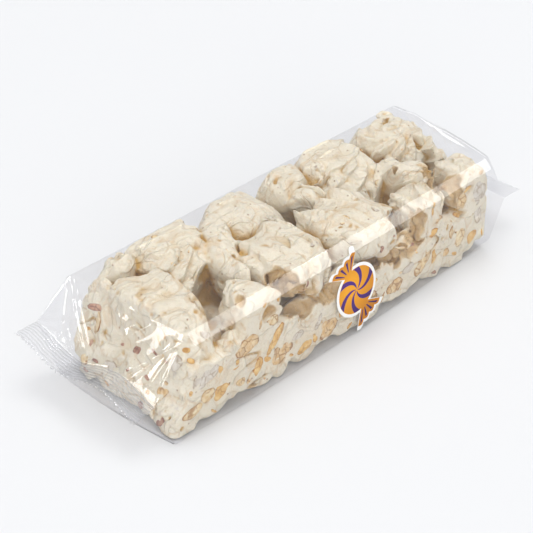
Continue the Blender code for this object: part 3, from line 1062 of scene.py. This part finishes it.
class NOUGAT_OT_nuts(bpy.types.Operator):
    """Sets the cut nuts into the nougat's faces, one piece for each kind."""

    bl_idname = "nougat.nuts"
    bl_label = "Nuts"

    def execute(self, context):
        if not store:
            raise RuntimeError("the nougat block is built before the nuts")
        random = np.random.default_rng(context.scene.nougat.seed + 1)
        groups = {kind: ([], [], []) for kind in NUT_KINDS}
        for side, centre, half, lean, kind in nut_list(random):
            shape, rim, faces = nut_shape(half, lean, random)
            found = surface_frame(side, *centre)
            if found is None:
                continue
            point, along, up, inward = found
            shape[:, 2] += 0.45 if side == "top" else 0.0
            ring = shape[1 + NUT_SIDES * (NUT_RINGS - 1) : 1 + NUT_SIDES * NUT_RINGS]
            for _ in range(5):
                edge = point + ring[:, :1] * along + ring[:, 1:2] * up + 0.9 * inward
                if store["grid"].sample(store["field"], edge).max() < 0.4:
                    break
                shape *= 0.8
            else:
                continue
            placed = point + shape[:, :1] * along + shape[:, 1:2] * up + shape[:, 2:] * inward
            placed[:, 2] = np.maximum(placed[:, 2], 0.3)
            if np.cross(along, up) @ inward > 0.0:
                faces = [face[::-1] for face in faces]
            all_points, all_rim, all_faces = groups[kind]
            first = len(all_points)
            all_points += placed.tolist()
            all_rim += rim
            all_faces += [tuple(k + first for k in face) for face in faces]
        for kind, (points, rim, faces) in groups.items():
            if not points:
                raise RuntimeError("no nut of this kind found a place: " + kind)
            name, kernel, toasted, skin = NUT_KINDS[kind]
            material = nut_material(name, linear(kernel), linear(toasted), linear(skin))
            piece = new_piece("nuts_" + kind, points, faces, material)
            add_attribute(piece.data, "rim", rim)
            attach(piece, "root")
            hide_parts("bag")
        return {"FINISHED"}


# Film

EDGE_Y = 4.6
EDGE_Z = 4.6
BASE_EDGE = 2.2
ACROSS = 124
EDGE_STEPS = 12
WALL_STEPS = 16
BODY_STATIONS = 96
FLAP_STATIONS = 58
# Ribs are drawn coarser than on real film, seven to a fin, so that they show
RIB_COUNT = 7
RIB_STEPS = 4
RIBBED_LENGTH = 10.6
RIB_DEPTH = 0.09
TEETH = 24
FILM_GAP = 0.12
FIN_HALF_THICKNESS = 0.12
CREASE_ROOM = 0.9


def film_outline():
    """The film's section as (across, up) from 0 to 1, with elliptic upper edges: base, back, top, front."""
    width = BACK_TOP_Y - FRONT_TOP_Y

    def wall(sign):
        points = []
        for k in range(EDGE_STEPS // 2 + 1):
            turn = math.pi / 2 * k / (EDGE_STEPS // 2)
            out = width / 2 - BASE_EDGE * (1 - math.sin(turn))
            points.append((0.5 + sign * out / width, BASE_EDGE * (1 - math.cos(turn)) / HEIGHT))
        low, high = BASE_EDGE, HEIGHT - EDGE_Z
        points += [(0.5 + sign * 0.5, mix(low, high, k / WALL_STEPS) / HEIGHT) for k in range(1, WALL_STEPS)]
        for k in range(EDGE_STEPS + 1):
            turn = math.pi / 2 * k / EDGE_STEPS
            share = k / EDGE_STEPS
            inward = EDGE_Y * mix(share, 1 - math.cos(turn), 0.12 if sign < 0 else 1.0)
            upward = EDGE_Z * mix(share, math.sin(turn), 0.12 if sign < 0 else 1.0)
            points.append((0.5 + sign * (width / 2 - inward) / width, (high + upward) / HEIGHT))
        return points[1:-1]

    base_inset, top_inset = BASE_EDGE / width, EDGE_Y / width
    base = [(mix(base_inset, 1 - base_inset, k / ACROSS), 0.0) for k in range(ACROSS + 1)]
    top = [(mix(top_inset, 1 - top_inset, k / ACROSS), 1.0) for k in range(ACROSS + 1)]
    back = wall(1.0)
    front = wall(-1.0)[::-1]
    return np.array(base + back + top[::-1] + front), len(back)


def film_body(along, across, up):
    """Points on the film round the nougat, from fractions along, across and up."""
    bulge = BASE_BULGE * (1.0 - (2.0 * along - 1.0) ** 2)
    front = mix(mix(*FRONT_BASE_Y, along) - bulge, FRONT_TOP_Y, up)
    back = mix(mix(*BACK_BASE_Y, along) + bulge, BACK_TOP_Y, up)
    left = mix(mix(*LEFT_BASE_X, across), mix(*LEFT_TOP_X, across), up)
    right = mix(mix(*RIGHT_BASE_X, across), mix(*RIGHT_TOP_X, across), up)
    off_centre = (2.0 * across - 1.0) ** 2
    pulled_in = END_ROUNDING * off_centre
    x = mix(left + pulled_in, right - pulled_in, along)
    return np.stack([x, mix(front, back, across), up * (HEIGHT - CROWN * off_centre)], -1)


def rib_phase(reach, y):
    """How many ribs lie between the seal line and a place on a fin. They wander where the film crumpled."""
    return reach / RIBBED_LENGTH * RIB_COUNT + 0.16 * np.sin(y / 2.7) + 0.10 * np.sin(y / 1.1 + 2.0)


def film_fin(end, reach, side):
    """One ring of a fin at a distance from its seal line, in the section's order."""
    y_front, y_back = RIGHT_FIN_Y if end > 0 else LEFT_FIN_Y
    base_x = RIGHT_FIN_BASE_X if end > 0 else LEFT_FIN_BASE_X
    depth = RIB_DEPTH * 0.5 if reach < RIBBED_LENGTH else 0.0
    share = np.arange(ACROSS + 1) / ACROSS
    tip = max(0.0, (reach - RIBBED_LENGTH) / (FIN_LENGTH - RIBBED_LENGTH))
    saw = np.abs((share * TEETH) % 1.0 - 0.5) * 2.0
    tooth = -TOOTH_DEPTH * tip * saw

    def place(across, offset, shorter=0.0):
        y = mix(y_front, y_back, across)
        droop = RIGHT_FIN_DROOP if end > 0 else LEFT_FIN_DROOP * smooth_step(1.1 - 1.5 * across)
        wave = LEFT_FIN_WAVE * np.cos(math.tau * (y - LEFT_FIN_Y[1]) / LEFT_FIN_WAVE_LENGTH)
        base_z = RIGHT_FIN_Z if end > 0 else LEFT_FIN_Z + wave
        offset = offset + depth * np.sin(math.tau * rib_phase(reach, y))
        out = reach + shorter
        x = base_x + end * (out * np.cos(droop) - offset * np.sin(droop))
        z = base_z - out * np.sin(droop) + offset * np.cos(droop)
        return np.stack(np.broadcast_arrays(x, y, z), -1)

    half = FIN_HALF_THICKNESS
    ends = (np.arange(side) + 1) / (side + 1)
    low = place(share, -half, tooth)
    high = place(share, half, tooth)
    back = place(np.ones(side), -half * np.cos(math.pi * ends))
    front = place(np.zeros(side), half * np.cos(math.pi * ends))
    return np.concatenate([low, back, high[::-1], front])


# Creases in the film: from, to, height and half width
CREASES = [
    # left end, from the block's top edge down to the seal
    ((-103.1, -2.6, 47.5), (-92.2, -2.2, 47.9), 0.8, 2.0),
    ((-105.8, -1.5, 41.0), (-94.0, 3.0, 47.8), 1.2, 2.6),
    ((-107.6, -4.5, 36.0), (-100.4, -17.5, 47.5), 1.3, 2.6),
    ((-112.6, -23.4, 23.6), (-101.0, -31.0, 44.3), 1.7, 3.2),
    ((-111.7, -28.8, 22.9), (-100.6, -33.0, 43.6), 0.8, 1.2),
    ((-115.3, -8.8, 23.7), (-100.5, -32.5, 44.2), 0.6, 0.8),
    ((-114.6, -14.0, 22.8), (-104.6, -25.7, 38.7), 0.6, 0.8),
    ((-103.4, 33.1, 47.1), (-112.6, 16.5, 22.0), 0.8, 0.9),
    ((-103.4, 30.0, 47.2), (-112.2, 13.3, 23.3), 0.6, 0.8),
    ((-104.3, 34.1, 45.1), (-114.6, 29.1, 19.6), 0.6, 0.9),
    ((-99.3, 24.8, 47.5), (-104.7, 13.5, 44.7), 0.5, 1.5),
    ((-112.4, 30.8, 25.5), (-106.7, 26.0, 40.0), 0.5, 0.9),
    ((-108.9, 11.7, 32.6), (-108.7, -6.8, 34.8), 0.5, 1.2),
    # right end and the loose pleats over it
    ((88.0, -27.2, 47.4), (90.8, -33.6, 45.1), 0.6, 1.2),
    ((100.5, 11.5, 47.8), (90.1, -27.2, 47.4), 0.7, 2.2),
    ((93.9, -6.3, 47.9), (94.9, -34.3, 44.3), 0.7, 1.8),
    ((94.8, -35.0, 43.4), (102.1, -34.6, 25.2), 0.8, 1.0),
    ((106.7, -24.9, 31.0), (101.7, -34.2, 6.1), 0.6, 1.0),
    ((94.9, -34.3, 44.3), (112.0, -28.1, 19.5), 0.8, 1.0),
    ((106.0, 25.3, 47.5), (89.9, -17.5, 47.7), 0.9, 2.6),
    ((106.0, 32.0, 47.0), (112.4, 10.0, 20.0), 0.5, 1.2),
    # folds that run the pack's length along its edges
    ((-105.0, 36.4, 46.6), (107.0, 36.4, 46.6), 0.35, 0.6),
    ((-112.0, -38.2, 1.2), (102.5, -37.0, 1.2), 0.4, 0.7),
    ((-101.0, -35.9, 42.9), (98.5, -35.9, 42.9), 0.25, 0.5),
    ((-100.4, -31.0, 47.9), (99.0, -31.0, 47.9), 0.22, 0.5),
]


def tension_lines():
    """Fine lines pulled straight from the block's end edges to the seals, at seeded random places."""
    random = np.random.default_rng(5)
    lines = []
    for _ in range(9):
        y = random.uniform(14.0, 34.0)
        z = random.uniform(24.0, 46.0)
        start = (LEFT_TOP_X[0] - 3.4 - 0.26 * (47.0 - z), y, z)
        end = (-114.3, y + random.uniform(-9.0, 9.0), LEFT_FIN_Z + random.uniform(-2.0, 2.0))
        lines.append((start, end, random.uniform(0.12, 0.4), random.uniform(0.6, 1.0)))
    for _ in range(12):
        y = random.uniform(-31.0, 34.0)
        start = (104.0 + 0.05 * y, y, random.uniform(30.0, 46.0))
        end = (112.2, y + random.uniform(-9.0, 9.0), RIGHT_FIN_Z)
        lines.append((start, end, random.uniform(0.25, 0.6), random.uniform(0.6, 1.0)))
    return lines


def crease_heights(points):
    """How far the creases lift the film at each point."""
    total = np.zeros(points.shape[:-1])
    for start, end, height, width in CREASES + tension_lines():
        a, b = np.array(start), np.array(end)
        line = b - a
        share = np.clip((points - a) @ line / (line @ line), 0.0, 1.0)
        off = np.linalg.norm(points - (a + share[..., None] * line), axis=-1)
        fade = np.minimum(1.0, 6.0 * np.minimum(share + 0.02, 1.02 - share))
        total += height * fade * np.exp(-((off / width) ** 2))
    return total


def film_points():
    """All rings of the film, fin to fin, with creases, as an array of rings by ring points by 3."""
    section, side = film_outline()
    across, up = section[:, 0], section[:, 1]
    ribs = [RIBBED_LENGTH * k / (RIB_COUNT * RIB_STEPS) for k in range(RIB_COUNT * RIB_STEPS)] + [
        RIBBED_LENGTH, FIN_LENGTH
    ]
    body = [film_body(k / (BODY_STATIONS - 1), across, up) for k in range(BODY_STATIONS)]
    rings = [film_fin(-1, reach, side) for reach in reversed(ribs)]
    for k in range(FLAP_STATIONS - 1, 0, -1):
        share = k / FLAP_STATIONS
        rings.append(mix(body[0], film_fin(-1, 0.0, side), share))
    rings += body
    for k in range(1, FLAP_STATIONS):
        share = k / FLAP_STATIONS
        rings.append(mix(body[-1], film_fin(1, 0.0, side), share))
    rings += [film_fin(1, reach, side) for reach in ribs]
    points = np.array(rings)
    along = np.gradient(points, axis=0)
    around = np.roll(points, -1, axis=1) - np.roll(points, 1, axis=1)
    normal = np.cross(around, along)
    normal /= np.linalg.norm(normal, axis=-1, keepdims=True) + 1e-9
    on_fin = np.zeros(len(rings))
    on_fin[: len(ribs)] = 1.0
    on_fin[-len(ribs) :] = 1.0
    lift = crease_heights(points) * (1.0 - on_fin[:, None]) * (points[..., 2] > 1.0)
    points = points + normal * (lift - FILM_GAP)[..., None] * (1.0 - on_fin[:, None, None])
    points[..., 2] = np.clip(points[..., 2], 0.0, HEIGHT + CREASE_ROOM)
    crimp = np.repeat(on_fin[:, None], points.shape[1], axis=1)
    for k, reach in enumerate(ribs):
        for ring in (len(ribs) - 1 - k, k - len(ribs)):
            crest = 0.5 + 0.5 * np.sin(math.tau * rib_phase(reach, points[ring, :, 1]))
            crimp[ring] = 0.15 + 0.85 * crest**2
    return points, crimp, side


class NOUGAT_OT_film(bpy.types.Operator):
    """Wraps the nougat in clear film: body, gathered ends and crimped, pinked fins."""

    bl_idname = "nougat.film"
    bl_label = "Film"

    def execute(self, context):
        points, crimp, side = film_points()
        if not np.isfinite(points).all():
            raise RuntimeError("the film has points that lie nowhere")
        rings, count = points.shape[:2]
        faces = []
        for ring in range(rings - 1):
            a, b = ring * count, (ring + 1) * count
            for k in range(count):
                after = (k + 1) % count
                faces.append((a + k, a + after, b + after, b + k))
        for first, turn in ((0, 1), ((rings - 1) * count, -1)):
            low = [first + k for k in range(ACROSS + 1)]
            back = [first + ACROSS + 1 + k for k in range(side)]
            high = [first + ACROSS + 1 + side + k for k in range(ACROSS + 1)][::-1]
            front = [first + 2 * (ACROSS + 1) + side + k for k in range(side)]
            caps = [(low[k], high[k], high[k + 1], low[k + 1]) for k in range(ACROSS)]
            caps += [tuple([low[-1], high[-1], *back[::-1]]), tuple([high[0], low[0], *front[::-1]])]
            faces += [cap[::turn] for cap in caps]
        piece = new_piece("film", points.reshape(-1, 3), faces, film_material(context.scene.nougat_film))
        add_attribute(piece.data, "crimp", crimp.reshape(-1))
        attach(piece, "root")
        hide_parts("bag")
        return {"FINISHED"}


# Sticker

STICKER_CENTRE = (-1.8, 23.3)
STICKER_TILT = math.radians(28.0)
SWEET_RADIUS = 13.0
WING_REACH = 20.5
WING_HALF_WIDTH = 10.0
NECK_HALF_WIDTH = 4.0
SCALLOPS = 4
SCALLOP_DEPTH = 1.3
CURVE_STEPS = 10
SWIRLS = 6


def front_surface_y(x, z):
    """The film's front, rounded edge included."""
    along = (x + 111.0) / 212.0
    bulge = BASE_BULGE * (1.0 - (2.0 * along - 1.0) ** 2)
    y = mix(mix(*FRONT_BASE_Y, along) - bulge, FRONT_TOP_Y, z / HEIGHT)
    return y + EDGE_Y * np.clip((z - (HEIGHT - EDGE_Z)) / EDGE_Z, 0.0, 1.0)


def stick(outline_points, lift, thickness, material, name):
    """A flat outline cut from sheet and laid on the film, with a fine grid of triangles and a closed edge."""
    curve = bpy.data.curves.new(name, "CURVE")
    curve.dimensions = "2D"
    curve.fill_mode = "BOTH"
    spline = curve.splines.new("POLY")
    spline.points.add(len(outline_points) - 1)
    for point, (s, t) in zip(spline.points, outline_points):
        point.co = (s, t, 0.0, 1.0)
    spline.use_cyclic_u = True
    curve.extrude = thickness / 2
    flat = bpy.data.objects.new(name, curve)
    bpy.context.scene.collection.objects.link(flat)
    mesh = bpy.data.meshes.new_from_object(flat.evaluated_get(bpy.context.evaluated_depsgraph_get()))
    bpy.data.objects.remove(flat)
    bpy.data.curves.remove(curve)
    shape = bmesh.new()
    shape.from_mesh(mesh)
    bmesh.ops.remove_doubles(shape, verts=shape.verts, dist=1e-4)
    bmesh.ops.triangulate(shape, faces=[f for f in shape.faces if len(f.verts) > 4])
    for _ in range(3):
        long_edges = [e for e in shape.edges if e.calc_length() > 2.4]
        bmesh.ops.subdivide_edges(shape, edges=long_edges, cuts=1, use_grid_fill=False)
        bmesh.ops.triangulate(shape, faces=[f for f in shape.faces if len(f.verts) > 3])
    c, s = math.cos(STICKER_TILT), math.sin(STICKER_TILT)
    for vert in shape.verts:
        a, b, depth = vert.co
        x = STICKER_CENTRE[0] + c * a - s * b
        z = STICKER_CENTRE[1] + s * a + c * b
        vert.co = Vector((x, float(front_surface_y(x, z)) - lift - depth, z)) * MM
    bmesh.ops.recalc_face_normals(shape, faces=shape.faces)
    shape.to_mesh(mesh)
    shape.free()
    mesh.materials.clear()
    mesh.materials.append(material)
    piece = bpy.data.objects.new(name, mesh)
    bpy.context.scene.collection.objects.link(piece)
    return piece


def fan(shrink):
    """The upper fan of the wrapper, from right to left, drawn in by the border's width."""
    points = []
    steps = SCALLOPS * CURVE_STEPS
    for k in range(steps + 1):
        share = k / steps
        dip = SCALLOP_DEPTH * abs(math.sin(math.pi * share * SCALLOPS))
        outward = WING_REACH - SCALLOP_DEPTH + dip - shrink
        points.append((mix(1.0, -1.0, share) * (WING_HALF_WIDTH - shrink), outward))
    return points


def sweet_outline(shrink):
    """Outline of the wrapped sweet: a round body with a fan at each end."""
    radius = SWEET_RADIUS - shrink
    meeting = math.asin(max(0.5, NECK_HALF_WIDTH - shrink) / radius)
    steps = 3 * CURVE_STEPS
    arc = [mix(-math.pi / 2 + meeting, math.pi / 2 - meeting, k / steps) for k in range(steps + 1)]
    half_turn = [(radius * math.cos(a), radius * math.sin(a)) for a in arc] + fan(shrink)
    return half_turn + [(-x, -y) for x, y in half_turn]


def swirl(turn, radius):
    """One curved arm of the pinwheel on the sweet."""
    width = math.tau / 19
    points = []
    for edge, order in ((0.0, 1), (width, -1)):
        arc = []
        for k in range(CURVE_STEPS + 1):
            share = k / CURVE_STEPS
            angle = turn + edge + 0.95 * share
            arc.append((mix(0.6, radius, share) * math.cos(angle), mix(0.6, radius, share) * math.sin(angle)))
        points += arc[::order]
    return points


def pleat(share, side):
    """One purple wedge in a fan, from the neck to the outer edge."""
    inner, outer = SWEET_RADIUS - 0.4, WING_REACH - 2.9
    a, b = share - 0.08, share + 0.08
    points = [(a * 3.0, inner), (b * 3.0, inner), (b * 8.2, outer), (a * 8.2, outer)]
    return [(side * x, side * y) for x, y in points]


class NOUGAT_OT_sticker(bpy.types.Operator):
    """Sticks the die-cut sticker on the front: a wrapped sweet in gold and purple with a white border."""

    bl_idname = "nougat.sticker"
    bl_label = "Sticker"

    def execute(self, context):
        settings = context.scene.nougat_sticker
        x, z = STICKER_CENTRE
        centre = Vector((x - 3.0, float(front_surface_y(x, z)), z + 3.0)) * MM
        reach = {"centre": centre, "start": 4.0, "end": 19.0}
        gold = print_material("printed gloss paper, gold", tuple(settings.gold), tuple(settings.amber), reach)
        dark = tuple(0.45 * c for c in settings.purple)
        purple = print_material("printed gloss paper, purple", tuple(settings.purple), dark, reach)
        white = print_material("gloss paper, white", linear("FBFBFA"), linear("F0F0EE"), reach)
        border = settings.border / MM
        layers = [stick(sweet_outline(0.0), 0.18, 0.22, white, "sticker")]
        layers.append(stick(sweet_outline(border), 0.32, 0.06, gold, "print_gold"))
        for k in range(SWIRLS):
            stripe = swirl(k * math.tau / SWIRLS, SWEET_RADIUS - border)
            layers.append(stick(stripe, 0.36, 0.05, purple, "print_swirl"))
        for side in (1, -1):
            for share in (-0.75, -0.25, 0.25, 0.75):
                layers.append(stick(pleat(share, side), 0.36, 0.05, purple, "print_pleat"))
        with context.temp_override(active_object=layers[0], selected_editable_objects=layers):
            bpy.ops.object.join()
        piece = layers[0]
        if len(piece.data.polygons) == 0:
            raise RuntimeError("the sticker has no faces")
        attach(piece, "root")
        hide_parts("sticker")
        return {"FINISHED"}


# Stage

LOOK_AT = (261.2, 269.4, -231.0)
FOCAL_PIXELS = 1600.0
PICTURE_SIDE = 533.0
SENSOR_MM = 36.0
FLOOR_HALF = 4000.0

# Area lights: way to them, distance and size in metres, power in watts, and whether matte surfaces and
# shiny ones see them
LIGHTS = {
    "overhead softbox": ((0.20, 0.12, 1.0), 3.0, (1.8, 1.8), 46.5, True, False),
    "sheen box": ((-0.50, 0.25, 0.90), 3.0, (1.3, 1.3), 36.0, False, True),
    "front fill": ((-0.66, -0.74, 0.32), 2.5, (2.0, 0.9), 26.0, True, False),
    "edge strip": ((0.614, -0.553, 0.561), 1.14, (0.62, 0.75), 4.9, False, True),
    "left strip": ((-0.95, 0.20, 0.22), 1.2, (0.36, 0.55), 3.7, False, True),
    "back strip": ((-0.55, 0.83, 0.12), 1.2, (0.3, 0.25), 2.2, False, True),
    "top strip": ((0.59, 0.13, 0.79), 1.2, (0.2, 0.1), 1.1, False, True),
    "right strip": ((0.85, 0.48, 0.22), 1.2, (0.4, 0.2), 0.5, False, True),
}


def aim(thing, place, target):
    """Puts a camera or a light at a place, looking at a target, both in metres."""
    thing.location = place
    thing.rotation_euler = (Vector(target) - Vector(place)).to_track_quat("-Z", "Y").to_euler()


def soft_box(name, direction, distance, size, power, diffuse, glossy):
    """An oblong area light that faces the pack, seen by matte surfaces, by shiny ones or by both."""
    light = bpy.data.lights.new(name, "AREA")
    light.shape = "RECTANGLE"
    light.size, light.size_y = size
    light.energy = power
    lamp = bpy.data.objects.new(name, light)
    bpy.context.scene.collection.objects.link(lamp)
    aim(lamp, Vector(direction).normalized() * distance, (0.0, 0.0, 0.02))
    lamp.visible_camera = False
    lamp.visible_diffuse = diffuse
    lamp.visible_glossy = glossy


def make_world():
    """A pale dome, bright overhead and dimmer towards the horizon, for the film to reflect."""
    world = bpy.data.worlds.new("studio dome")
    bpy.context.scene.world = world
    world.use_nodes = True
    tree = world.node_tree
    tree.nodes.clear()
    place = add_node(tree, "TexCoord", out="Generated")
    up = add_node(tree, "SeparateXYZ", {"Vector": place}, "Z")
    stops = [(0.0, linear("C4C4C5")), (0.45, linear("B3B3B4")), (0.85, linear("FFFFFF"))]
    shade = add_node(tree, "ValToRGB", {"Fac": up}, stops=stops)
    sky = add_node(tree, "Background", {"Color": shade, "Strength": 1.0})
    add_node(tree, "OutputWorld", {"Surface": sky})


class NOUGAT_OT_stage(bpy.types.Operator):
    """Lays the pale floor and sets the soft lights and the camera."""

    bl_idname = "nougat.stage"
    bl_label = "Stage"

    def execute(self, context):
        settings = context.scene.nougat_stage
        scene = context.scene
        corners = [(a * FLOOR_HALF, b * FLOOR_HALF, 0.0) for a, b in ((-1, -1), (1, -1), (1, 1), (-1, 1))]
        floor = new_piece("floor", corners, [(0, 1, 2, 3)], paper_material(settings), smooth=False)
        make_world()
        for name, row in LIGHTS.items():
            soft_box(name, *row)

        azimuth, elevation = settings.azimuth, settings.elevation
        level = math.cos(elevation)
        back = Vector((math.sin(azimuth) * level, -math.cos(azimuth) * level, math.sin(elevation)))
        target = Vector(LOOK_AT) * MM
        camera_data = bpy.data.cameras.new("camera")
        camera_data.sensor_width = SENSOR_MM
        camera_data.lens = FOCAL_PIXELS / PICTURE_SIDE * SENSOR_MM
        camera_data.clip_start = 0.01
        camera = bpy.data.objects.new("camera", camera_data)
        scene.collection.objects.link(camera)
        aim(camera, target + back * settings.distance, target)
        scene.camera = camera
        scene.view_settings.view_transform = "Standard"
        return {"FINISHED"}


class NOUGAT_PT_panel(bpy.types.Panel):
    """Lists the pieces in the sidebar."""

    bl_idname = "NOUGAT_PT_panel"
    bl_label = "Nougat block"
    bl_space_type = "VIEW_3D"
    bl_region_type = "UI"
    bl_category = "Nougat"

    def draw(self, context):
        for operator in OPERATORS:
            self.layout.operator(operator.bl_idname)


SETTINGS = {
    "nougat": NougatSettings,
    "nougat_film": FilmSettings,
    "nougat_sticker": StickerSettings,
    "nougat_stage": StageSettings,
}
OPERATORS = (NOUGAT_OT_stage, NOUGAT_OT_block, NOUGAT_OT_nuts, NOUGAT_OT_film, NOUGAT_OT_sticker)


def register():
    for kind in (*SETTINGS.values(), *OPERATORS, NOUGAT_PT_panel):
        bpy.utils.register_class(kind)
    for name, kind in SETTINGS.items():
        setattr(bpy.types.Scene, name, bpy.props.PointerProperty(type=kind))


def unregister():
    for name in SETTINGS:
        delattr(bpy.types.Scene, name)
    for kind in (NOUGAT_PT_panel, *reversed(OPERATORS), *reversed(list(SETTINGS.values()))):
        bpy.utils.unregister_class(kind)


def main():
    register()
    bpy.ops.nougat.stage()
    bpy.ops.nougat.block()
    bpy.ops.nougat.nuts()
    bpy.ops.nougat.film()
    bpy.ops.nougat.sticker()


if __name__ == "__main__":
    main()
